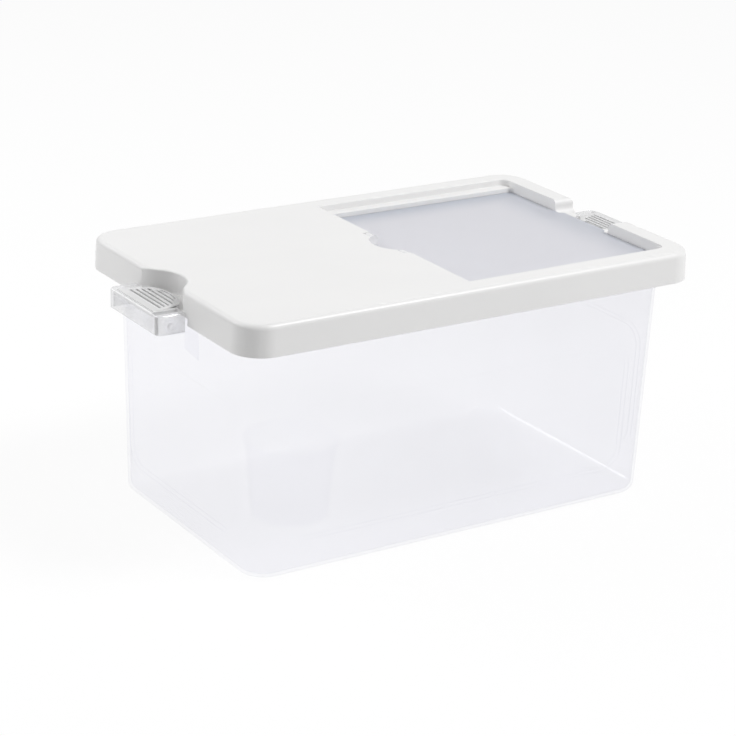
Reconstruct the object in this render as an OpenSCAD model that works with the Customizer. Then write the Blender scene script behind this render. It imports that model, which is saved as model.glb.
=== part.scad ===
// Rice bin with a lift-off lid, a clear flip panel over half of it and a swing-over latch at each end.
// Millimetres. +Z is up, +X runs along the length to the flip panel's end, and the floor stands on z = 0.

/* [Bin] */
// Length of the bin's floor, outside
bin_len = 361.6; // [320:0.4:420]
// Width of the bin's floor, outside
bin_wid = 207.8; // [186:0.4:260]
// Height of the mouth, where the lid seats
bin_h = 185; // [165:1:230]
// Corner radius in plan at the floor
bin_corner_r = 22; // [18:1:28]
// How far each wall leans outwards between the floor and the mouth
bin_lean = 5.2; // [3:0.1:8]
// Thickness of the walls
bin_wall = 2.2; // [1.8:0.1:2.8]
// Thickness of the floor
bin_floor = 2.6; // [2:0.1:4]
// Rounding between the walls and the floor, outside
bin_foot_r = 8; // [6:0.5:12]
// Reach of the flange round the mouth
flange_reach = 10.2; // [8:0.2:13]
// Thickness of the flange
flange_t = 2; // [1.6:0.1:3]
// Height of the stiffening band under the flange
band_h = 6.5; // [4:0.5:10]
// How far the band stands out from the wall
band_out = 1.5; // [0.8:0.1:2.5]
// Drop from the mouth to the top of the band
band_drop = 4; // [3:0.5:7]

/* [Wall panels] */
// How far the wall panels are pressed outwards
panel_out = 0.6; // [0.3:0.1:1]
// Height of the panels' lower edge
panel_foot = 27; // [20:1:40]
// Height of the panels' upper edge
panel_head = 131; // [110:1:140]
// Plain wall left beside each long wall's panel, measured from the floor's end
panel_side_margin = 29.6; // [24:0.4:44]
// Plain wall left beside each end wall's panel, measured from the floor's side
panel_end_margin = 23; // [23:1:40]
// Corner radius of the panels
panel_r = 18; // [10:1:24]

/* [Lid] */
// Thickness of the lid's top and skirt
lid_t = 2.4; // [1.8:0.1:3]
// Gap between the flange and the skirt
skirt_gap = 1.4; // [0.8:0.1:2.5]
// Drop of the skirt below the seat
skirt_drop = 4.6; // [3:0.2:8]
// Rise of the lid's top above the seat
lid_rise = 19; // [17:0.5:22]
// Corner radius of the skirt in plan
lid_corner_r = 23.5; // [20:0.5:30]
// Rounding of the lid's top edge
lid_edge_r = 4.4; // [3:0.2:6]
// How far the skirt leans outwards from its top to its foot
lid_lean = 1; // [0.5:0.1:2]
// Gap between the locating ring and the bin's mouth
plug_gap = 0.4; // [0.3:0.1:1]
// Thickness of the locating ring
plug_t = 2; // [1.6:0.1:3]
// Depth of the locating ring inside the mouth
plug_drop = 4; // [3:0.5:8]

/* [Flip opening] */
// Place of the raised half's edge along X
plateau_edge = -2.8; // [-30:0.2:20]
// Rise of the ledge along the long sides above the seat
ledge_rise = 13.8; // [13.2:0.1:15]
// Width of the ledge along the long sides
ledge_side = 9.4; // [6:0.2:12]
// Drop from the ledge to the bed that the panel lies on
bed_drop = 5.8; // [4:0.1:6]
// Thickness of the ledge and the bed
ledge_t = 2; // [1.6:0.1:2.6]
// Width of the bed along the long sides
bed_side = 3.2; // [2.4:0.2:6]
// Width of the bed at the panel's free end
bed_end = 1.8; // [1.4:0.2:2.6]
// Width of the bed under the hinge
bed_hinge = 8.8; // [6:0.2:14]
// Corner radius of the recess above the ledge
recess_r = 8; // [5:0.5:12]
// Corner radius of the bed at the panel's free end
bed_r = 5; // [4:0.5:8]
// Half width of the notch in the raised half's edge
notch_half = 35; // [32:1:42]
// Depth of the notch
notch_deep = 15.3; // [13:0.1:18]

/* [End scoops] */
// Half width of the scoop at each end
scoop_half = 39.4; // [39:0.2:46]
// Depth of the scoop at each end
scoop_deep = 17.2; // [15:0.2:17.2]
// Thickness of the shelf that the latch holds down
shelf_t = 2.4; // [2:0.1:3]
// How far the shelf stays back from the lid's end
shelf_back = 1; // [0.6:0.1:2]

/* [Flip panel] */
// Thickness of the panel
flap_t = 2.2; // [1.8:0.1:2.6]
// Gap between the panel and its bed, and between the open panel and the lid's top
flap_lift = 0.2; // [0.1:0.1:0.4]
// Gap along the panel's long sides
flap_side_gap = 0.8; // [0.6:0.1:1.6]
// Gap at the panel's free end
flap_end_gap = 0.4; // [0.4:0.1:1]
// Gap between the raised half's edge and the panel
flap_hinge_gap = 2.3; // [2:0.1:3]
// Gap between the panel's tongue and the notch that it fills
tongue_gap = 1; // [0.6:0.1:1.6]
// Half width of the tongue where it leaves the panel
tongue_half = 30; // [29:0.5:31]
// Half width of the finger tab
tab_half = 28; // [24:0.5:29]
// Reach of the finger tab past the recess
tab_reach = 3; // [2:0.2:4]
// Flat floor left beside the finger tab
tab_gap = 1.2; // [0.8:0.1:2]
// Rounding at the foot and at the top of the rim where it dips for the tab
gate_r = 5.2; // [3.6:0.1:5.2]

/* [Panel hinge] */
// Distance from the raised half's edge back to the hinge axis
hinge_back = 2.4; // [2.2:0.1:3]
// Distance of each knuckle from the middle
knuckle_at = 24; // [22:0.5:24.5]
// Length of each knuckle
knuckle_len = 8; // [6:0.5:8]
// How far the knuckles stay below the lid's top
knuckle_sink = 0.1; // [0.1:0.1:0.4]
// Running gap round and beside each knuckle
knuckle_gap = 0.4; // [0.3:0.1:0.6]
// Radius of the hinge pins
pin_r = 1.4; // [1.2:0.1:1.6]
// Radial clearance of every pin in its hole
pin_fit = 0.05; // [0.02:0.01:0.1]
// How far each hinge pin reaches into its knuckle
pin_reach = 4.5; // [3:0.5:5]

/* [Latches] */
// Reach of the latch past the lid's end
latch_reach = 23; // [20:0.5:28]
// Half width of the latch
latch_half = 38; // [36:0.5:38]
// Thickness of the latch's cheeks
cheek_t = 4; // [3:0.5:5]
// Thickness of the latch's top
latch_t = 2.4; // [2:0.1:3]
// Thickness of the latch's front
front_t = 2.2; // [1.8:0.1:3]
// Corner radius of the latch in plan
latch_corner_r = 5; // [4:0.5:8]
// Rounding of the latch's top edge
latch_edge_r = 1.4; // [0.8:0.1:2]
// Gap between the latch and the lid
latch_gap = 1; // [0.6:0.1:1.6]
// Gap between the pad and the shelf that it holds down
pad_gap = 0.2; // [0.1:0.1:0.3]
// Rise of the ribbed pad above the latch's top
pad_rise = 1; // [0.8:0.1:1.6]
// Half width of the pad at its outer end
pad_half = 28; // [24:0.5:30]
// Half width of the pad where its round tip starts
pad_tip_half = 22; // [18:0.5:24]
// Length of the pad's round tip
pad_round = 7.1; // [5:0.1:9]
// Straight stretch of the pad's sides at its outer end
pad_shoulder = 4.3; // [2:0.1:8]
// Reach of the pad over the shelf
pad_reach = 9.6; // [7:0.2:11]
// Width of the grooves in the pad
groove_w = 1.8; // [1.2:0.1:2.4]
// Distance between neighbouring grooves
groove_pitch = 4.1; // [3.4:0.1:5]
// Number of straight grooves in the pad
grooves = 5; // [3:1:5]
// Distance from the latch's front to the first groove
groove_start = 8; // [6:0.5:10]
// Smooth border round the straight grooves
groove_margin = 3.8; // [2.6:0.2:5]
// Smooth border outside the groove that follows the tip
tip_margin = 1.4; // [1:0.1:2]
// Distance from the lid's end out to the latch's pivot
pivot_out = 9; // [8:0.5:11]
// Drop from the seat to the latch's pivot
pivot_drop = 6; // [6:0.5:8]
// Drop from the pivot to the latch's lower edge
latch_foot = 3.5; // [2.5:0.5:5]
// Radius of the latch's trunnions
trunnion_r = 2.4; // [2:0.1:3]
// Thickness of the ears that carry the latch
ear_t = 3.5; // [3:0.5:5]
// Gap between each ear and the latch's cheek
ear_gap = 0.3; // [0.3:0.1:0.6]
// Radius of the ear round the trunnion
ear_r = 6; // [4.5:0.5:6]
// Reach of the rib under each ear from the lid's end inwards
ear_rib_back = 3; // [2:0.5:6]
// Drop from the seat to the foot of the rib under each ear
ear_rib_drop = 38; // [28:1:60]

/* [Measuring cup] */
// Radius of the cup's rim
cup_rim_r = 37; // [28:1:44]
// Radius of the cup's foot
cup_foot_r = 30; // [22:1:36]
// Height of the cup
cup_h = 62; // [45:1:75]
// Thickness of the cup's wall
cup_wall = 1.5; // [1.2:0.1:2.5]
// Width of the bead round the cup's rim
cup_bead = 1.6; // [1.2:0.1:2.4]
// Place of the cup along X
cup_x = -93; // [-120:1:100]
// Place of the cup along Y
cup_y = -10; // [-50:1:50]

/* [Ribs under the lid] */
// Thickness of the stiffening ribs
rib_t = 1.5; // [1.2:0.1:2]
// Depth of the ribs under the raised half
rib_deep = 7; // [4:0.5:9]
// Ribs across the raised half
ribs_across = 4; // [2:1:6]
// Ribs along the raised half
ribs_along = 5; // [3:1:7]
// Rest ribs along each long side of the rim
rests_side = 8; // [4:1:12]
// Distance from a scoop's wall to the rest rib beside it
rest_start = 6; // [4:1:10]
// Distance between the rest ribs beside a scoop
rest_pitch = 24; // [18:1:28]

/* [Hidden] */
$fn = 96;
// Length by which a cut runs past the face that it opens
over = 1;
// Step to which the ends of an arc are rounded, so that it meets its neighbours exactly
grain = 0.001;
// Length over which the two arcs of a dip overlap
blend = 0.4;
// Height by which the dip's upper rounding stands past the lid's top, so that it ends in a clean edge
gate_ease = 0.15;

// Slope of the bin's walls, and the outside of the mouth
bin_slope = bin_lean / bin_h;
mouth_x = bin_len / 2 + bin_lean;
mouth_y = bin_wid / 2 + bin_lean;

// The lid's outline follows the flange, and its levels follow the seat
lid_x = mouth_x + flange_reach + skirt_gap + lid_t;
lid_y = mouth_y + flange_reach + skirt_gap + lid_t;
lid_h = skirt_drop + lid_rise;
lid_slope = lid_lean / lid_h;
lid_foot = bin_h - skirt_drop;
lid_top = bin_h + lid_rise;
ledge_z = bin_h + ledge_rise;
bed_z = ledge_z - bed_drop;
shelf_z = bin_h + shelf_t;

// The locating ring fits the mouth, and the recess lines up with the ring
ring_x = mouth_x - bin_wall - plug_gap;
ring_y = mouth_y - bin_wall - plug_gap;
ring_r = bin_corner_r + bin_lean - bin_wall - plug_gap;
recess_x = ring_x - plug_t;
recess_y = ring_y - plug_t;
bed_y = recess_y - ledge_side;
gate_flat = tab_half + tab_gap;

// The panel lies on its bed, and turned half round it lies on the raised half
flap_z = bed_z + flap_lift;
flap_top = flap_z + flap_t;
flap_x = plateau_edge + flap_hinge_gap;
flap_end = recess_x - flap_end_gap;
flap_y = bed_y - flap_side_gap;
hinge_x = plateau_edge - hinge_back;
hinge_z = (lid_top + flap_lift + flap_top) / 2;
knuckle_r = lid_top - hinge_z - knuckle_sink;
knuckle_in = knuckle_at - knuckle_len / 2;
knuckle_out = knuckle_at + knuckle_len / 2;

// The latch closes over the shelf and turns in the ears
latch_x = lid_x + latch_reach;
pivot_x = lid_x + pivot_out;
pivot_z = bin_h - pivot_drop;
latch_low = pivot_z - latch_foot;
latch_under = shelf_z + pad_gap;
latch_top = latch_under + latch_t;
cheek_in = latch_half - cheek_t;
ear_out = cheek_in - ear_gap;
pad_top = latch_top + pad_rise;

// ---- outlines and sections ----

// Rounded rectangle, centred
module rounded_rect(len, wid, r) {
    square([len, wid - 2 * r], center = true);
    square([len - 2 * r, wid], center = true);
    for (x = [-1, 1], y = [-1, 1])
        translate([x * (len / 2 - r), y * (wid / 2 - r)])
            circle(r);
}

// Flat slab with round corners between two levels
module slab(half_x, half_y, r, low, high) {
    translate([0, 0, low])
        linear_extrude(high - low)
            rounded_rect(2 * half_x, 2 * half_y, r);
}

// Box given by its lowest and highest corners
module span(low, high) {
    translate(low)
        cube(high - low);
}

// Section of a leaning wall from its corner axis outwards: the foot's arc ends upright where the wall starts
module foot_section(r, height, slope, edge_r) {
    knee = round((r + slope * edge_r) / grain) * grain;
    polygon([[0, 0], [knee - edge_r, 0], [knee, edge_r], [r + slope * height, height], [0, height]]);
    translate([knee - edge_r, edge_r])
        circle(edge_r);
}

// Carries a section round a rounded rectangle whose corner axes stand at (axis_x, axis_y)
module sweep_round(axis_x, axis_y, height) {
    for (i = [0 : 3]) {
        x = (i == 0 || i == 3) ? axis_x : -axis_x;
        y = i < 2 ? axis_y : -axis_y;
        translate([x, y, 0])
            rotate(90 * i)
                rotate_extrude(angle = 90)
                    children();
    }
    for (side = [0, 1]) {
        mirror([0, side, 0])
            translate([-axis_x, axis_y, 0])
                rotate([90, 0, 90])
                    linear_extrude(2 * axis_x)
                        children();
        mirror([side, 0, 0])
            translate([axis_x, axis_y, 0])
                rotate([90, 0, 0])
                    linear_extrude(2 * axis_y)
                        children();
    }
    translate([-axis_x, -axis_y, 0])
        cube([2 * axis_x, 2 * axis_y, height]);
}

// Solid block with leaning walls and a rounded foot
module foot_block(half_x, half_y, r, height, slope, edge_r) {
    sweep_round(half_x - r, half_y - r, height)
        foot_section(r, height, slope, edge_r);
}

// The same block upside down: a rounded top at the given level, walls that spread downwards
module cap_block(half_x, half_y, r, top, height, slope, edge_r) {
    translate([0, 0, top])
        mirror([0, 0, 1])
            foot_block(half_x, half_y, r, height, slope, edge_r);
}

// Dip in a straight edge at x = 0, made of one arc and the two equal arcs that lead into it
module dip(half_w, deep) {
    r = (half_w * half_w + deep * deep) / (4 * deep);
    intersection() {
        translate([deep - r, 0])
            circle(r);
        translate([-over, -half_w])
            square([deep + 2 * over, 2 * half_w]);
    }
    difference() {
        translate([-over, -half_w])
            square([over + deep / 2 - blend, 2 * half_w]);
        for (y = [-half_w, half_w])
            translate([r, y])
                circle(r);
    }
}

// ---- bin ----

// Outside of the bin's walls, grown by the given amount
module bin_outside(grow) {
    foot_block(bin_len / 2 + grow, bin_wid / 2 + grow, bin_corner_r + grow, bin_h, bin_slope, bin_foot_r);
}

// Space inside the bin, grown by the given amount
module bin_inside(grow) {
    lift = bin_slope * bin_floor - bin_wall + grow;
    translate([0, 0, bin_floor])
        foot_block(bin_len / 2 + lift, bin_wid / 2 + lift, bin_corner_r + lift,
            bin_h - bin_floor + over, bin_slope, bin_foot_r - bin_wall);
}

// Prisms through all four walls that bound the pressed panels
module panel_prisms(inset) {
    high = panel_head - panel_foot - 2 * inset;
    for (turn = [0, 90]) {
        len = (turn == 0 ? bin_len - 2 * panel_side_margin : bin_wid - 2 * panel_end_margin) - 2 * inset;
        rotate(turn)
            translate([0, 0, (panel_head + panel_foot) / 2])
                rotate([90, 0, 0])
                    linear_extrude(2 * mouth_x + 4 * over, center = true)
                        rounded_rect(len, high, panel_r - inset);
    }
}

// Outline of one ear: a lobe round the trunnion, and a rib down the wall
module ear_outline() {
    wall_x = mouth_x - bin_wall / 2 - bin_slope * ear_rib_drop;
    rib_x = lid_x - ear_rib_back;
    rib_foot = bin_h - ear_rib_drop;
    rib_knee = rib_foot + rib_x - wall_x;
    difference() {
        union() {
            polygon([
                [wall_x, rib_foot], [rib_x, rib_knee], [rib_x, pivot_z - ear_r],
                [pivot_x, pivot_z - ear_r], [pivot_x, pivot_z + ear_r], [wall_x, pivot_z + ear_r]
            ]);
            translate([pivot_x, pivot_z])
                circle(ear_r);
        }
        translate([pivot_x, pivot_z])
            circle(trunnion_r + pin_fit);
    }
}

// The two ears at one end
module ears() {
    for (y = [-ear_out, ear_out - ear_t])
        translate([0, y + ear_t, 0])
            rotate([90, 0, 0])
                linear_extrude(ear_t)
                    ear_outline();
}

module bin_body() {
    band_top = bin_h - band_drop;
    band_mid = bin_slope * (band_top - band_h / 2);
    flange_r = lid_corner_r - lid_t - skirt_gap;
    color([0.9, 0.91, 0.95, 0.5])
        difference() {
            union() {
                bin_outside(0);
                intersection() {
                    bin_outside(panel_out);
                    panel_prisms(0);
                }
                slab(mouth_x + flange_reach, mouth_y + flange_reach, flange_r, bin_h - flange_t, bin_h);
                slab(bin_len / 2 + band_mid + band_out, bin_wid / 2 + band_mid + band_out,
                    bin_corner_r + band_mid + band_out, band_top - band_h, band_top);
                for (side = [0, 1])
                    mirror([side, 0, 0])
                        ears();
            }
            bin_inside(0);
            intersection() {
                bin_inside(panel_out);
                panel_prisms(bin_wall);
            }
        }
}

// ---- lid ----

// Tray over the flip opening: round corners at the free end, square ones at the hinge
module tray_outline(half_y, r, grow) {
    mid = (plateau_edge + recess_x) / 2;
    len = recess_x - plateau_edge + 2 * grow;
    wid = 2 * (half_y + grow);
    translate([mid, 0])
        rounded_rect(len, wid, r + grow);
    translate([plateau_edge - grow, -wid / 2])
        square([len / 2, wid]);
}

// Recess above the ledge, grown by the given amount
module recess_outline(grow) {
    tray_outline(recess_y, recess_r, grow);
}

// Bed that the panel lies in, grown by the given amount
module bed_outline(grow) {
    tray_outline(bed_y, bed_r, grow);
}

// Opening inside the bed
module opening_outline() {
    low = plateau_edge + bed_hinge;
    high = recess_x - bed_end;
    translate([(low + high) / 2, 0])
        rounded_rect(high - low, 2 * (bed_y - bed_side), bed_r);
}

// Dip in the right-hand rim that frees the finger tab, seen from the side and grown by the given amount
module gate_outline(grow) {
    mid = gate_flat + gate_r + grow;
    foot = bed_z + gate_r;
    brow = lid_top - gate_r + gate_ease;
    translate([-gate_flat, bed_z - grow])
        square([2 * gate_flat, gate_r + grow + over]);
    translate([-mid, foot])
        square([2 * mid, lid_top + over - foot]);
    for (y = [-gate_flat, gate_flat])
        translate([y, foot])
            circle(gate_r + grow);
    difference() {
        translate([-gate_flat - 2 * gate_r, brow])
            square([2 * gate_flat + 4 * gate_r, lid_top + over - brow]);
        for (y = [-1, 1])
            translate([y * (gate_flat + 2 * gate_r), brow])
                circle(gate_r - grow);
    }
}

// Carries a side view along X between two places
module along(low, high) {
    translate([low, 0, 0])
        rotate([90, 0, 90])
            linear_extrude(high - low)
                children();
}

// Scoop at the right-hand end, grown by the given amount
module scoop_outline(grow) {
    translate([lid_x, 0])
        mirror([1, 0])
            dip(scoop_half + grow, scoop_deep + grow);
}

// Notch in the raised half's edge, grown by the given amount
module notch_outline(grow) {
    translate([plateau_edge, 0])
        mirror([1, 0])
            dip(notch_half + grow, notch_deep + grow);
}

// Outside of the lid, inset by the given wall
module lid_outside(inset) {
    drop = inset > 0 ? over : 0;
    cap_block(lid_x - lid_lean - inset, lid_y - lid_lean - inset, lid_corner_r - lid_lean - inset,
        lid_top - inset, lid_h - inset + drop, lid_slope, lid_edge_r - inset / 2);
}

// Pockets for the flip panel's knuckles, from the given level to the given one, grown by the given amount
module pockets(low, high, grow) {
    for (side = [0, 1])
        mirror([0, side, 0])
            span([hinge_x - knuckle_r - knuckle_gap - grow, knuckle_in - knuckle_gap - grow, low],
                [plateau_edge + (grow > 0 ? 0 : over), knuckle_out + knuckle_gap + grow, high]);
}

// Walls that hang from the lid's top: the trays, the notch, the pockets, the scoops and the locating ring
module lid_walls() {
    under = lid_top - lid_t / 2;
    translate([0, 0, ledge_z - ledge_t])
        linear_extrude(under - ledge_z + ledge_t)
            recess_outline(lid_t);
    translate([0, 0, bed_z - ledge_t])
        linear_extrude(ledge_z - ledge_t / 2 - bed_z + ledge_t)
            bed_outline(lid_t);
    translate([0, 0, bed_z - ledge_t])
        linear_extrude(under - bed_z + ledge_t)
            notch_outline(lid_t);
    pockets(bed_z - ledge_t, under, lid_t);
    along(recess_x, lid_x - lid_t / 2)
        intersection() {
            gate_outline(lid_t);
            translate([-lid_y, 0])
                square([2 * lid_y, under]);
        }
    for (side = [0, 1])
        mirror([side, 0, 0])
            translate([0, 0, bin_h])
                linear_extrude(under - bin_h)
                    intersection() {
                        scoop_outline(lid_t);
                        square(2 * [lid_x - lid_t / 2, lid_y], center = true);
                    }
    difference() {
        slab(ring_x, ring_y, ring_r, bin_h - plug_drop, under);
        slab(ring_x - plug_t, ring_y - plug_t, ring_r - plug_t, bin_h - plug_drop - over, lid_top);
    }
}

// Stiffening ribs under the raised half, and the rest ribs that stand on the bin's flange
module lid_ribs() {
    rib_low = lid_top - lid_t - rib_deep;
    rib_high = lid_top - lid_t / 2;
    left = -ring_x + plug_t / 2;
    right = plateau_edge - notch_deep - lid_t;
    for (i = [1 : ribs_across]) {
        x = left + (right - left) * i / (ribs_across + 0.5);
        span([x - rib_t / 2, -ring_y + plug_t / 2, rib_low], [x + rib_t / 2, ring_y - plug_t / 2, rib_high]);
    }
    for (i = [1 : ribs_along]) {
        y = ring_y * (2 * i / (ribs_along + 1) - 1);
        span([left, y - rib_t / 2, rib_low], [plateau_edge - lid_t / 2, y + rib_t / 2, rib_high]);
    }
    skirt_x = lid_x - lid_lean - lid_t / 2;
    skirt_y = lid_y - lid_lean - lid_t / 2;
    rest_x = lid_x - lid_corner_r;
    for (side = [-1, 1], i = [0 : rests_side - 1]) {
        x = rest_x * (2 * i / (rests_side - 1) - 1);
        y = side * (ring_y + skirt_y - plug_t / 2) / 2;
        wid = skirt_y - ring_y + plug_t / 2;
        translate([x - rib_t / 2, y - wid / 2, bin_h])
            cube([rib_t, wid, rib_high - bin_h]);
    }
    for (x = [-1, 1], y = [-1, 1], i = [0, 1]) {
        wid = skirt_x - ring_x + plug_t / 2;
        rest_y = scoop_half + lid_t + rest_start + i * rest_pitch;
        translate([x * (ring_x + skirt_x - plug_t / 2) / 2 - wid / 2, y * rest_y - rib_t / 2, bin_h])
            cube([wid, rib_t, rib_high - bin_h]);
    }
}

// Everything that is cut out of the lid's top and skirt
module lid_cuts() {
    translate([0, 0, ledge_z])
        linear_extrude(lid_rise + over)
            recess_outline(0);
    translate([0, 0, bed_z])
        linear_extrude(lid_rise + over)
            bed_outline(0);
    translate([0, 0, lid_foot - over])
        linear_extrude(lid_h + 2 * over) {
            opening_outline();
            notch_outline(0);
            translate([plateau_edge - over, -tongue_half - tongue_gap])
                square([bed_hinge + 2 * over, 2 * (tongue_half + tongue_gap)]);
        }
    for (side = [0, 1])
        mirror([side, 0, 0]) {
            translate([0, 0, shelf_z])
                linear_extrude(lid_rise)
                    scoop_outline(0);
            span([lid_x - shelf_back, -scoop_half, lid_foot - over], [lid_x + over, scoop_half, shelf_z]);
            span([ring_x + lid_t, -scoop_half, lid_foot - over], [lid_x + over, scoop_half, bin_h]);
        }
    along(recess_x - over, lid_x + over)
        gate_outline(0);
    pockets(bed_z, lid_top + over, 0);
}

// Pin that holds one knuckle of the flip panel, fast in its pocket's wall
module hinge_pin() {
    translate([hinge_x, knuckle_out - pin_reach, hinge_z])
        rotate([-90, 0, 0])
            cylinder(r = pin_r, h = pin_reach + knuckle_gap + lid_t / 2);
}

module lid() {
    color([0.93, 0.93, 0.92]) {
        difference() {
            union() {
                difference() {
                    lid_outside(0);
                    lid_outside(lid_t);
                }
                intersection() {
                    lid_outside(0);
                    union() {
                        lid_walls();
                        lid_ribs();
                    }
                }
            }
            lid_cuts();
        }
        for (side = [0, 1])
            mirror([0, side, 0])
                hinge_pin();
    }
}

// ---- flip panel ----

// One knuckle and the arm that joins it to the panel
module knuckle() {
    difference() {
        translate([hinge_x, knuckle_in, hinge_z])
            rotate([-90, 0, 0]) {
                cylinder(r = knuckle_r, h = knuckle_len);
                cube([knuckle_r, hinge_z - flap_z, knuckle_len]);
            }
        translate([hinge_x, knuckle_out - pin_reach - knuckle_gap, hinge_z])
            rotate([-90, 0, 0])
                cylinder(r = pin_r + pin_fit, h = pin_reach + knuckle_gap + over);
    }
    span([hinge_x, knuckle_in, flap_z], [flap_x + over, knuckle_out, flap_top]);
}

// Tongue that fills the notch and swings down through it when the panel opens
module tongue_outline() {
    intersection() {
        notch_outline(-tongue_gap);
        square([2 * lid_x, 2 * tongue_half], center = true);
    }
    translate([plateau_edge, -tongue_half])
        square([flap_hinge_gap + over, 2 * tongue_half]);
}

module flip_panel() {
    len = flap_end - flap_x;
    r = bed_r - flap_end_gap;
    color([0.85, 0.87, 0.92, 0.5]) {
        translate([0, 0, flap_z])
            linear_extrude(flap_t) {
                translate([(flap_x + flap_end) / 2, 0])
                    rounded_rect(len, 2 * flap_y, r);
                translate([flap_x, -flap_y])
                    square([len / 2, 2 * flap_y]);
                tongue_outline();
                translate([recess_x + tab_reach - 2 * r, 0])
                    rounded_rect(4 * r, 2 * tab_half, tab_reach);
            }
        for (side = [0, 1])
            mirror([0, side, 0])
                knuckle();
    }
}

// ---- latches ----

// Pad with straight, slightly closing sides and a round tip over the shelf, inset by the given amount
module pad_outline(inset) {
    tip_x = lid_x - pad_reach;
    straight_x = latch_x - front_t - pad_shoulder;
    tip_r = (pad_tip_half * pad_tip_half + pad_round * pad_round) / (2 * pad_round);
    slope = (pad_half - pad_tip_half) / (straight_x - tip_x - pad_round);
    far_x = tip_x - over;
    far_half = pad_half - slope * (straight_x - far_x) - inset;
    intersection() {
        polygon([
            [latch_x - front_t - inset, inset - pad_half], [latch_x - front_t - inset, pad_half - inset],
            [straight_x, pad_half - inset], [far_x, far_half],
            [far_x, -far_half], [straight_x, inset - pad_half]
        ]);
        translate([tip_x + tip_r, 0])
            circle(tip_r - inset);
    }
}

// Grooves across the pad, and one that follows its tip
module groove_outline() {
    first_x = latch_x - front_t - groove_start;
    intersection() {
        pad_outline(groove_margin);
        for (i = [0 : grooves - 1])
            translate([first_x - i * groove_pitch - groove_w / 2, -pad_half])
                square([groove_w, 2 * pad_half]);
    }
    intersection() {
        difference() {
            pad_outline(tip_margin);
            pad_outline(tip_margin + groove_w);
        }
        translate([lid_x - pad_reach, -pad_tip_half / 2])
            square([pad_round, pad_tip_half]);
    }
}

// Latch at the right-hand end
module latch() {
    low = latch_top - latch_low;
    difference() {
        union() {
            intersection() {
                translate([lid_x, 0, 0])
                    cap_block(latch_reach, latch_half, latch_corner_r, latch_top, low, 0, latch_edge_r);
                span([lid_x + latch_gap, -latch_half, latch_low], [latch_x, latch_half, latch_top]);
            }
            translate([0, 0, latch_under])
                linear_extrude(pad_top - latch_under)
                    pad_outline(0);
        }
        span([lid_x, -cheek_in, latch_low - over], [latch_x - front_t, cheek_in, latch_under]);
        translate([0, 0, latch_top])
            linear_extrude(pad_rise + over)
                groove_outline();
    }
    for (side = [0, 1])
        mirror([0, side, 0])
            translate([pivot_x, ear_out - ear_t + ear_gap, pivot_z])
                rotate([-90, 0, 0])
                    cylinder(r = trunnion_r, h = ear_t + cheek_t / 2);
}

module right_latch() {
    color([0.88, 0.89, 0.92, 0.7])
        latch();
}

module left_latch() {
    color([0.88, 0.89, 0.92, 0.7])
        mirror([1, 0, 0])
            latch();
}

// ---- measuring cup ----

module measuring_cup() {
    color([0.9, 0.92, 0.95, 0.5])
        translate([cup_x, cup_y, bin_floor])
            rotate_extrude()
                difference() {
                    union() {
                        polygon([[0, 0], [cup_foot_r, 0], [cup_rim_r - cup_bead / 2, cup_h], [0, cup_h]]);
                        translate([cup_rim_r - cup_bead, cup_h - cup_bead])
                            square([cup_bead, cup_bead]);
                    }
                    polygon([
                        [0, cup_wall], [cup_foot_r - cup_wall, cup_wall],
                        [cup_rim_r - cup_bead / 2 - cup_wall, cup_h + over], [0, cup_h + over]
                    ]);
                }
}

bin_body();
lid();
flip_panel();
left_latch();
right_latch();
measuring_cup();
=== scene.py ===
import math

import bpy
from mathutils import Matrix, Vector


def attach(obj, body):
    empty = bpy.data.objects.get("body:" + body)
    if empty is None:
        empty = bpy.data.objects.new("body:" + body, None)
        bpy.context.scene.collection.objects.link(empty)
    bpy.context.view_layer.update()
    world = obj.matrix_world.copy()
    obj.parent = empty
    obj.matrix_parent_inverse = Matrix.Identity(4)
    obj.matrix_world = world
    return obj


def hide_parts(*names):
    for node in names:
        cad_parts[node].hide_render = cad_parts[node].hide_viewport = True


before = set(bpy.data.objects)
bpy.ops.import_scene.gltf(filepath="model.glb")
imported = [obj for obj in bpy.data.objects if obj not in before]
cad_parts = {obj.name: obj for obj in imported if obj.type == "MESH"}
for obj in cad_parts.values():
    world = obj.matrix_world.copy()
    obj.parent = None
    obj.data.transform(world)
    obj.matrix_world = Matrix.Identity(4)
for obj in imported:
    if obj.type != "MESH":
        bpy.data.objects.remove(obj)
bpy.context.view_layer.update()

LENGTH, WIDTH, HEIGHT = range(3)

# Where the camera stands and how it is turned, in degrees and metres.
CAMERA_AZIMUTH = -33.73
CAMERA_ELEVATION = 20.50
CAMERA_ROLL = 2.28
CAMERA_DISTANCE = 1.81345
CAMERA_TARGET = (-0.01166, 0.01064, 0.09948)
CAMERA_REACH = 50
FOCAL_PX = 2330.7
FRAME_PX = 736
SENSOR_MM = 36

# The studio: a white floor, pale air and three soft boxes.
FLOOR_SPAN = 14
FLOOR_LEVEL = -0.0005
FLOOR_GLOW = 0.92
FLOOR_THIN_PAINT = (0.08, 0.08, 0.08, 1)
FLOOR_PAINT = (0.92, 0.92, 0.92, 1)
WHITE = (1, 1, 1, 1)
AIR_COLOUR = (0.8, 0.8, 0.8, 1)
AIR_GLOW = 0.29          # how strongly the air lights the object
AIR_SEEN = 1.0           # how strong it is to the eye, in glass and in gloss
BOXES_AIM = (0, 0, 0.1)
# Each soft box: which way it stands, how far away, how wide, and how light it makes a white surface.
SOFT_BOXES = {
    "key_box": ((0.405, -0.43, 0.81), 3.1, 1.0, 0.71),
    "fill_box": ((-0.62, 0.50, 0.60), 1.8, 1.2, 0.42),
    "back_box": ((-0.33, 0.78, 0.50), 2.2, 0.5, 0.05),
}

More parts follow.
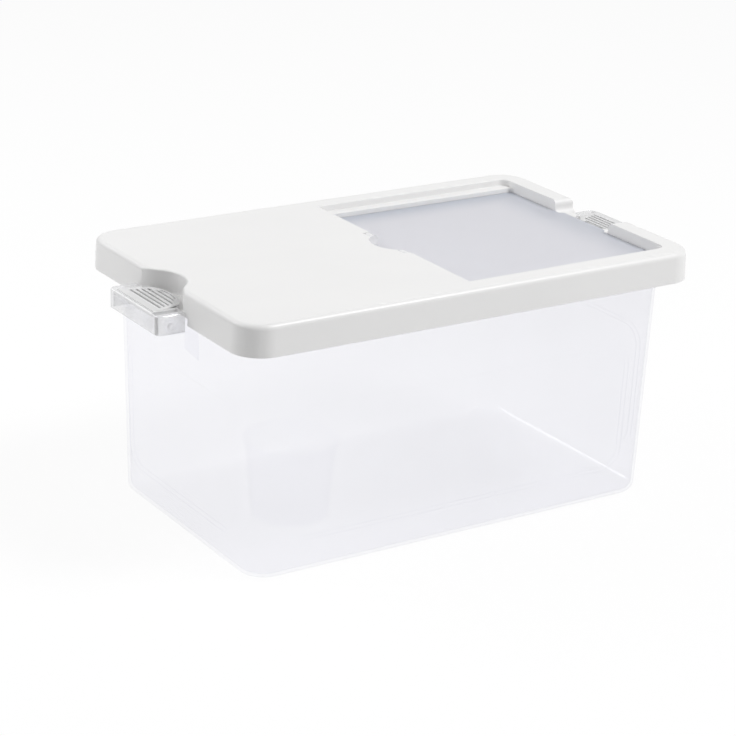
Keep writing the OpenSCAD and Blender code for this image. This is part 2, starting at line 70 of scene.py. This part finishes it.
# Levels and places on the mouldings, in metres.
LID_TOP = 0.204
LEDGE_LEVEL = 0.1988
BIN_RIM = 0.185
CUP_RIM = 0.0646
PANEL_TOP = 0.1954
PANEL_UNDER = 0.1932
PANEL_BACK = 0.0943
PANEL_END = 0.181
LATCH_TOP = 0.190        # the top of the latch's shell, and the floors of its pad's grooves
LATCH_END = 0.223
LATCH_HALF = 0.038
PAD_TOP = 0.191
PAD_UNDER = 0.1874
PAD_HALF = 0.0282
GROOVES_INNER = 0.1950
GROOVES_OUTER = 0.2139
GROOVES_HALF = 0.0246
BIN_FOOT = 0.03          # the height at which the milky foot of the bin has half faded
MATT_FOOT = 0.016        # the height up to which the bin's foot is matt
MATT_FOOT_FROM = 0.085   # and how far back it starts to be
SAME_LEVEL = 1e-5        # metres within which an edge lies on a level

# The left scoop's mouth in the lid's top, and its sides below the top.
SCOOP_RIM_LEVEL = LID_TOP - 0.0005
SCOOP_RIM_END = -0.16
SCOOP_RIM_HALF = 0.05
SCOOP_SIDES_LEVEL = 0.188
SCOOP_SIDES_END = -0.1955
SCOOP_SIDES_HALF = 0.0403
# The notch and the knuckle pockets at the hinge.
HINGE_FROM = -0.02
HINGE_TO = 0.002
HINGE_HALF = 0.034

# How wide the edges are rounded, in metres.
SCOOP_ROUNDING = 0.0016
LID_ROUNDING = 0.0008
LEDGE_ROUNDING = 0.0005
BIN_ROUNDING = 0.0006
PANEL_ROUNDING = 0.0005
LATCH_ROUNDING = 0.0003
CUP_ROUNDING = 0.0004

# How the mouldings are made.
MERGE_GAP = 2e-6         # metres within which the corners of loose triangles are one corner
FLAT_ANGLE = math.radians(1)
SHARP_ANGLE = math.radians(35)
CLEAR_WALLS_DEEP = 32    # how many clear surfaces light may pass one after another

# The plastics.
PLASTIC_IOR = 1.49
SHELL_WHITE = (0.845, 0.842, 0.838, 1)
SHELL_SHADE = (0.815, 0.812, 0.81, 1)
KNUCKLE_WHITE = (0.90, 0.90, 0.91, 1)
PANE_PASSES = (0.985, 0.985, 1.0, 1)
PANE_LIT = (0.80, 0.80, 0.845, 1)
# The pane's painted shade colour, for its back and far edges.
PANE_PAINTED_SHADE = (0.56, 0.60, 0.68, 1)
PANE_COVER = 0.46
PANE_BLUR = 0.30
BIN_PASSES = (0.985, 0.985, 0.993, 1)
BIN_MILK = (0.78, 0.78, 0.85, 1)
BIN_HAZE = 0.018
BIN_FOOT_HAZE = 0.006
BIN_EDGE_HAZE = 0.10
BIN_SHINE = 0.03
CUP_PASSES = (0.997, 0.997, 0.999, 1)
CUP_MILK = (0.86, 0.88, 0.92, 1)
CUP_HAZE = 0.003
CUP_EDGE_HAZE = 0.02
CUP_SHINE = 0.008
LATCH_PASSES = (0.975, 0.975, 0.98, 1)
LATCH_CLOUD = (0.77, 0.77, 0.775, 1)
# Painted shade for the latch's outer corners.
LATCH_CORNER_SHADE = (0.40, 0.40, 0.40, 1)
# Painted shade for the floors of the pad's grooves.
LATCH_GROOVE_SHADE = (0.17, 0.17, 0.17, 1)


# ---------------------------------------------------------------- node materials

class Wire:
    """A node socket that adds Math nodes when it is used in an expression."""

    def __init__(self, finish, socket):
        self.finish = finish
        self.socket = socket

    def math(self, operation, *values):
        return self.finish.node("Math", {"operation": operation}, dict(enumerate(values)))

    def __add__(self, other):
        return self.math("ADD", self, other)

    def __radd__(self, other):
        return self.math("ADD", other, self)

    def __sub__(self, other):
        return self.math("SUBTRACT", self, other)

    def __rsub__(self, other):
        return self.math("SUBTRACT", other, self)

    def __mul__(self, other):
        return self.math("MULTIPLY", self, other)

    def __rmul__(self, other):
        return self.math("MULTIPLY", other, self)

    def __pow__(self, other):
        return self.math("POWER", self, other)

    def above(self, level, width):
        """0 below the level and 1 above it, with a soft step of that width round it."""
        return self.finish.node("MapRange", {"interpolation_type": "SMOOTHSTEP", "clamp": True},
                                {0: self, 1: level - width / 2, 2: level + width / 2})

    def below(self, level, width):
        """1 below the level and 0 above it, with the same soft step."""
        return 1 - self.above(level, width)

    def larger(self, other):
        return self.math("MAXIMUM", self, other)


class Finish:
    """The nodes of a material, or of the air round the object."""

    def __init__(self, owner):
        self.owner = owner
        self.owner.use_nodes = True
        self.tree = self.owner.node_tree
        self.tree.nodes.clear()

    def node(self, kind, settings=None, values=None, out=0):
        new = self.tree.nodes.new("ShaderNode" + kind)
        for name, setting in (settings or {}).items():
            setattr(new, name, setting)
        for key, value in (values or {}).items():
            self.feed(new.inputs[key], value)
        return Wire(self, new.outputs[out]) if new.outputs else None

    def feed(self, socket, value):
        if isinstance(value, Wire):
            self.tree.links.new(value.socket, socket)
        else:
            socket.default_value = value

    def show(self, shader, end="OutputMaterial"):
        self.node(end, None, {"Surface": shader})
        return self.owner

    def mix_colours(self, share, first, second):
        return self.node("Mix", {"data_type": "RGBA"}, {0: share, 6: first, 7: second}, out=2)

    def mix_shaders(self, share, first, second):
        return self.node("MixShader", None, {0: share, 1: first, 2: second})

    def place(self):
        return self.node("TexCoord", out="Object")

    def noise(self, scale, detail=2.0, roughness=0.5, stretch=(1, 1, 1)):
        spread = self.node("Mapping", None, {"Vector": self.place(), "Scale": stretch})
        return self.node("TexNoise", None, {"Vector": spread, "Scale": scale, "Detail": detail,
                                            "Roughness": roughness})

    def along(self, axis):
        return self.node("SeparateXYZ", None, {0: self.place()}, out=axis)

    def out_from_middle(self, axis):
        place = self.along(axis)
        return place.math("ABSOLUTE", place)

    def edge_on(self):
        """0 where a surface faces the eye and 1 where it is seen edge on."""
        return self.node("LayerWeight", None, {"Blend": 0.5}, out="Facing")

    def any_ray(self, *ways):
        """1 for rays of any of these kinds, and 0 for all others."""
        seen = self.node("LightPath", out=ways[0])
        for way in ways[1:]:
            seen = seen.larger(self.node("LightPath", out=way))
        return seen

    def skin(self, strength, distance, height):
        return self.node("Bump", None, {"Strength": strength, "Distance": distance, "Height": height})

    def clear(self, colour):
        return self.node("BsdfTransparent", None, {"Color": colour})

    def gloss(self, roughness, skin):
        return self.node("BsdfGlossy", None, {"Color": WHITE, "Roughness": roughness, "Normal": skin})


def finish_called(name):
    return Finish(bpy.data.materials.new(name))


def glossy_shell():
    """The lid's glossy white, with faint flow marks and a fine, slightly wavy skin."""
    finish = finish_called("lid_white")
    flow = finish.noise(scale=9, detail=3, roughness=0.55, stretch=(1, 1.6, 1))
    grain = finish.noise(scale=900)
    wave = finish.noise(scale=26)
    return finish.show(finish.node("BsdfPrincipled", None, {
        "Base Color": finish.mix_colours(flow.above(0.5, width=0.5) * 0.5, SHELL_WHITE, SHELL_SHADE),
        "Roughness": 0.34 + flow * 0.10,
        "IOR": PLASTIC_IOR,
        "Coat Weight": 0.06,
        "Coat Roughness": 0.20,
        "Normal": finish.skin(strength=0.12, distance=0.0004, height=grain * 0.15 + wave)}))


def wall_flow(finish):
    """Faint flow marks that stand upright in a moulded wall."""
    return finish.noise(scale=14, detail=3, stretch=(1, 1, 0.5))


def clear_wall(finish, flow, haze, shine, passes, milk, edge_haze):
    """A clear wall: a thin milky haze over clear plastic, thicker edge on, all under a gloss."""
    edge = finish.edge_on()
    skin = finish.skin(strength=0.10, distance=0.0006, height=finish.noise(scale=30))
    milky = finish.node("BsdfPrincipled", None, {
        "Base Color": milk,
        "Roughness": 0.16 + flow * 0.08,
        "IOR": PLASTIC_IOR,
        "Normal": skin})
    body = finish.mix_shaders(haze + (edge ** 4.0) * edge_haze, finish.clear(passes), milky)
    reflected = shine * ((edge ** 5.0) * 8 + 1)
    return finish.show(finish.mix_shaders(reflected, body, finish.gloss(0.05, skin)))


def clear_bin():
    """The bin's clear plastic: hazier to the right and at the foot, and matt at the back foot."""
    finish = finish_called("bin_clear")
    flow = wall_flow(finish)
    slant = (finish.along(LENGTH) - finish.along(WIDTH)).above(0, width=0.6)
    haze = BIN_HAZE * (0.7 + flow * 0.6) * (0.3 + slant * 2.2)
    foot = finish.along(HEIGHT).below(BIN_FOOT, width=0.06)
    matt_foot = finish.along(HEIGHT).below(MATT_FOOT, width=0.010)
    matt_foot = matt_foot * finish.along(WIDTH).above(MATT_FOOT_FROM, width=0.02)
    return clear_wall(finish, flow, haze + foot * BIN_FOOT_HAZE, BIN_SHINE * (1 - matt_foot * 0.85),
                      BIN_PASSES, BIN_MILK, BIN_EDGE_HAZE)


def clear_cup():
    """The measuring cup's plastic, clearer than the bin's."""
    finish = finish_called("cup_clear")
    flow = wall_flow(finish)
    return clear_wall(finish, flow, CUP_HAZE * (0.7 + flow * 0.6), CUP_SHINE,
                      CUP_PASSES, CUP_MILK, CUP_EDGE_HAZE)


def frosted_pane():
    """The flip panel: frosted, with painted shade towards its back and far edges, and white knuckles.
    """
    finish = finish_called("panel_clear")
    edge = finish.edge_on()
    wave = finish.noise(scale=30)
    shade_streaks = finish.noise(scale=26, stretch=(1, 0.3, 1))
    skin = finish.skin(strength=0.10, distance=0.0006, height=wave)
    # Painted shade: near its back edge, and in streaks near its far end, the pane is coloured darker
    # and made cloudier, standing in for the shade under the lid that shows through it.
    far_painted_shade = finish.along(LENGTH).above(PANEL_END - 0.020, width=0.044) * (0.15 + shade_streaks * 0.9)
    rim = finish.along(WIDTH).above(PANEL_BACK - 0.014, width=0.034).larger(far_painted_shade)
    knuckle = finish.along(HEIGHT).above(PANEL_TOP + 0.0008, width=0.0006)
    blurred = finish.node("BsdfRefraction", None, {
        "Color": PANE_PASSES, "Roughness": PANE_BLUR, "IOR": PLASTIC_IOR, "Normal": skin})
    pane_colour = finish.mix_colours(rim, PANE_LIT, PANE_PAINTED_SHADE)
    milky = finish.node("BsdfPrincipled", None, {
        "Base Color": finish.mix_colours(knuckle, pane_colour, KNUCKLE_WHITE),
        "Roughness": 0.3,
        "Normal": skin})
    # Light falls through the pane unbent, so the panel throws no black shadow into the bin.
    lights = finish.any_ray("Is Shadow Ray", "Is Diffuse Ray")
    pane = finish.mix_shaders(lights, blurred, finish.clear(PANE_PASSES))
    # The painted shade also thickens the pane's cover near those edges.
    cover = PANE_COVER * (0.85 + wave * 0.3 + rim * 0.25 + knuckle * 0.95)
    body = finish.mix_shaders(cover, pane, milky)
    return finish.show(finish.mix_shaders(0.03 + (edge ** 5.0) * 0.6, body, finish.gloss(0.10, skin)))


def cloudy_latch():
    """The latches: cloudy clear, with a nearly solid pad, and painted shade in the pad's grooves and
    on the latch's outer corners.
    """
    finish = finish_called("latch_clear")
    edge = finish.edge_on()
    flow = finish.noise(scale=60, detail=3)
    skin = finish.skin(strength=0.08, distance=0.0003, height=finish.noise(scale=80))
    height = finish.along(HEIGHT)
    out_x = finish.out_from_middle(LENGTH)
    out_y = finish.out_from_middle(WIDTH)
    pad = height.above(PAD_UNDER, width=0.0004) * out_y.below(PAD_HALF, width=0.0006)
    # Painted shade: the floors of the pad's grooves are coloured dark and made nearly solid, standing
    # in for the shade in the grooves; the tip groove gets less of it.
    groove_shade = height.below(LATCH_TOP + 0.0002, width=0.0001)
    groove_shade = groove_shade * height.above(LATCH_TOP - 0.0002, width=0.0001)
    groove_shade = groove_shade * out_x.below(GROOVES_OUTER, width=0.0002)
    groove_shade = groove_shade * out_y.below(GROOVES_HALF, width=0.0002)
    groove_shade = groove_shade * (0.4 + out_x.above(GROOVES_INNER, width=0.0002) * 0.6)
    # Painted shade: the latch's outer corners below its top are coloured grey, standing in for the
    # dark that clear plastic shows along such edges.
    corner = out_x.above(LATCH_END - 0.0014, width=0.0012)
    corner = corner * out_y.above(LATCH_HALF - 0.0050, width=0.002)
    corner = corner * height.below(LATCH_TOP - 0.0010, width=0.001)
    colour = finish.mix_colours(groove_shade, finish.mix_colours(corner, LATCH_CLOUD, LATCH_CORNER_SHADE),
                                LATCH_GROOVE_SHADE)
    cloudy = finish.node("BsdfPrincipled", None, {
        "Base Color": colour, "Roughness": 0.25, "IOR": PLASTIC_IOR, "Normal": skin})
    # The painted groove and corner shade are made nearly solid; the corner shade fades where the
    # corner is seen edge on.
    cover = (0.12 + flow * 0.30).larger(pad * 0.85).larger(groove_shade * 0.95).larger(corner * (1 - edge))
    body = finish.mix_shaders(cover, finish.clear(LATCH_PASSES), cloudy)
    return finish.show(finish.mix_shaders(0.10 + (edge ** 5.0) * 0.5, body, finish.gloss(0.07, skin)))


def white_floor():
    """A white sweep: white to the eye, in glass and in gloss, with the object's faint shadow."""
    finish = finish_called("floor_white")
    seen = finish.any_ray("Is Camera Ray", "Is Glossy Ray", "Is Transmission Ray")
    paint = finish.node("BsdfDiffuse", None, {"Color": FLOOR_PAINT})
    glow = finish.node("Emission", None, {"Color": WHITE, "Strength": FLOOR_GLOW})
    thin = finish.node("BsdfDiffuse", None, {"Color": FLOOR_THIN_PAINT})
    both = finish.node("AddShader", None, {0: glow, 1: thin})
    return finish.show(finish.mix_shaders(seen, paint, both))


# ---------------------------------------------------------------- studio

def place_camera():
    azimuth = math.radians(CAMERA_AZIMUTH)
    rise = math.radians(CAMERA_ELEVATION)
    roll = math.radians(CAMERA_ROLL)
    back = Vector((math.sin(azimuth) * math.cos(rise), -math.cos(azimuth) * math.cos(rise),
                   math.sin(rise)))
    right = (-back).cross(Vector((0, 0, 1))).normalized()
    up = right.cross(-back)
    turned_right = math.cos(roll) * right + math.sin(roll) * up
    turned_up = math.cos(roll) * up - math.sin(roll) * right
    stand = Vector(CAMERA_TARGET) + CAMERA_DISTANCE * back
    lens = bpy.data.cameras.new("camera")
    lens.sensor_width = SENSOR_MM
    lens.lens = FOCAL_PX / FRAME_PX * SENSOR_MM
    lens.clip_end = CAMERA_REACH
    camera = bpy.data.objects.new("camera", lens)
    turn = Matrix((turned_right, turned_up, back)).transposed().to_4x4()
    camera.matrix_world = Matrix.Translation(stand) @ turn
    bpy.context.scene.collection.objects.link(camera)
    bpy.context.scene.camera = camera


def soft_box(name, towards, away, span, level):
    """A square lamp that lights a facing white surface to that level."""
    lamp = bpy.data.lights.new(name, "AREA")
    lamp.shape = "SQUARE"
    lamp.size = span
    lamp.energy = level * (math.pi * away) ** 2
    holder = bpy.data.objects.new(name, lamp)
    way = Vector(towards).normalized()
    holder.location = Vector(BOXES_AIM) + way * away
    holder.rotation_euler = way.to_track_quat("Z", "Y").to_euler()
    bpy.context.scene.collection.objects.link(holder)


def pale_air():
    """Air that is pale to the eye, in glass and in gloss, and lights the object less than that."""
    finish = Finish(bpy.data.worlds.new("studio_air"))
    seen = finish.any_ray("Is Camera Ray", "Is Glossy Ray", "Is Transmission Ray")
    glow = finish.node("Background", None, {
        "Color": AIR_COLOUR, "Strength": AIR_GLOW + seen * (AIR_SEEN - AIR_GLOW)})
    bpy.context.scene.world = finish.show(glow, "OutputWorld")


def lay_floor():
    bpy.ops.object.select_all(action="DESELECT")
    bpy.ops.mesh.primitive_plane_add(size=FLOOR_SPAN, location=(0, 0, FLOOR_LEVEL))
    floor = bpy.context.object
    floor.name = "floor"
    floor.data.materials.append(white_floor())


# ---------------------------------------------------------------- mouldings

def on_level(level):
    return lambda place: abs(place.z - level) < SAME_LEVEL


def in_left_scoop(place):
    rim = place.z > SCOOP_RIM_LEVEL and place.x < SCOOP_RIM_END and abs(place.y) < SCOOP_RIM_HALF
    sides = (place.z > SCOOP_SIDES_LEVEL and place.x < SCOOP_SIDES_END
             and abs(place.y) < SCOOP_SIDES_HALF)
    return rim or sides


def by_hinge(place):
    return HINGE_FROM < place.x < HINGE_TO and abs(place.y) < HINGE_HALF


def on_lid_top(place):
    return on_level(LID_TOP)(place) and not by_hinge(place) and not in_left_scoop(place)


def on_panel_face(place):
    return on_level(PANEL_TOP)(place) or on_level(PANEL_UNDER)(place)


def on_pad(place):
    return on_level(PAD_TOP)(place) and abs(place.x) > GROOVES_INNER


def take_up(piece):
    bpy.ops.object.select_all(action="DESELECT")
    piece.select_set(True)
    bpy.context.view_layer.objects.active = piece


def merged_copy(node, name):
    """A copy of a CAD node whose loose triangles are merged into whole faces."""
    piece = bpy.data.objects.new(name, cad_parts[node].data.copy())
    bpy.context.scene.collection.objects.link(piece)
    take_up(piece)
    bpy.ops.object.mode_set(mode="EDIT")
    bpy.ops.mesh.select_all(action="SELECT")
    bpy.ops.mesh.remove_doubles(threshold=MERGE_GAP)
    bpy.ops.mesh.customdata_custom_splitnormals_clear()
    bpy.ops.mesh.dissolve_limited(angle_limit=FLAT_ANGLE)
    bpy.ops.object.mode_set(mode="OBJECT")
    return piece


def round_edges(piece, width, steps, wanted):
    """Rounds the sharp edges whose middles lie where they are wanted."""
    take_up(piece)
    bpy.ops.object.mode_set(mode="EDIT")
    bpy.ops.mesh.select_mode(type="EDGE")
    bpy.ops.mesh.select_all(action="DESELECT")
    bpy.ops.mesh.edges_select_sharp(sharpness=SHARP_ANGLE)
    bpy.ops.object.mode_set(mode="OBJECT")
    mesh = piece.data
    kept = [edge for edge in mesh.edges if edge.select and wanted(
        (mesh.vertices[edge.vertices[0]].co + mesh.vertices[edge.vertices[1]].co) / 2)]
    for part in (mesh.polygons, mesh.edges, mesh.vertices):
        part.foreach_set("select", [False] * len(part))
    for edge in kept:
        edge.select = True
        for corner in edge.vertices:
            mesh.vertices[corner].select = True
    bpy.ops.object.mode_set(mode="EDIT")
    bpy.ops.mesh.bevel(offset_type="OFFSET", offset=width, segments=steps, profile=0.5,
                       affect="EDGES", clamp_overlap=False, loop_slide=True)
    bpy.ops.object.mode_set(mode="OBJECT")


def moulding(node, name, body, material, roundings):
    """The finished moulding that stands for a CAD node, with its sharp edges rounded."""
    piece = merged_copy(node, name)
    for width, steps, wanted in roundings:
        round_edges(piece, width, steps, wanted)
    take_up(piece)
    bpy.ops.object.shade_smooth_by_angle(angle=SHARP_ANGLE)
    even = piece.modifiers.new("even_normals", "WEIGHTED_NORMAL")
    even.keep_sharp = True
    bpy.ops.object.modifier_apply(modifier=even.name)
    piece.data.materials.clear()
    piece.data.materials.append(material)
    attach(piece, body)
    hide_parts(node)


place_camera()
pale_air()
lay_floor()
for box_name, box_setting in SOFT_BOXES.items():
    soft_box(box_name, *box_setting)

lid_white = glossy_shell()
bin_clear = clear_bin()
panel_clear = frosted_pane()
latch_clear = cloudy_latch()
cup_clear = clear_cup()

# Each rounding: how wide it is, in how many steps, and which edges get it.
moulding("lid", "lid_moulding", "lid", lid_white, [
    (SCOOP_ROUNDING, 3, in_left_scoop),
    (LID_ROUNDING, 3, on_lid_top),
    (LEDGE_ROUNDING, 2, on_level(LEDGE_LEVEL))])
moulding("bin_body", "bin_moulding", "bin", bin_clear, [
    (BIN_ROUNDING, 2, on_level(BIN_RIM))])
moulding("flip_panel", "panel_moulding", "panel", panel_clear, [
    (PANEL_ROUNDING, 3, on_panel_face)])
moulding("left_latch", "left_latch_moulding", "latch_left", latch_clear, [
    (LATCH_ROUNDING, 2, on_pad)])
moulding("right_latch", "right_latch_moulding", "latch_right", latch_clear, [
    (LATCH_ROUNDING, 2, on_pad)])
moulding("measuring_cup", "cup_moulding", "cup", cup_clear, [
    (CUP_ROUNDING, 2, on_level(CUP_RIM))])

bpy.context.scene.view_settings.view_transform = "Standard"
bpy.context.scene.cycles.transparent_max_bounces = CLEAR_WALLS_DEEP
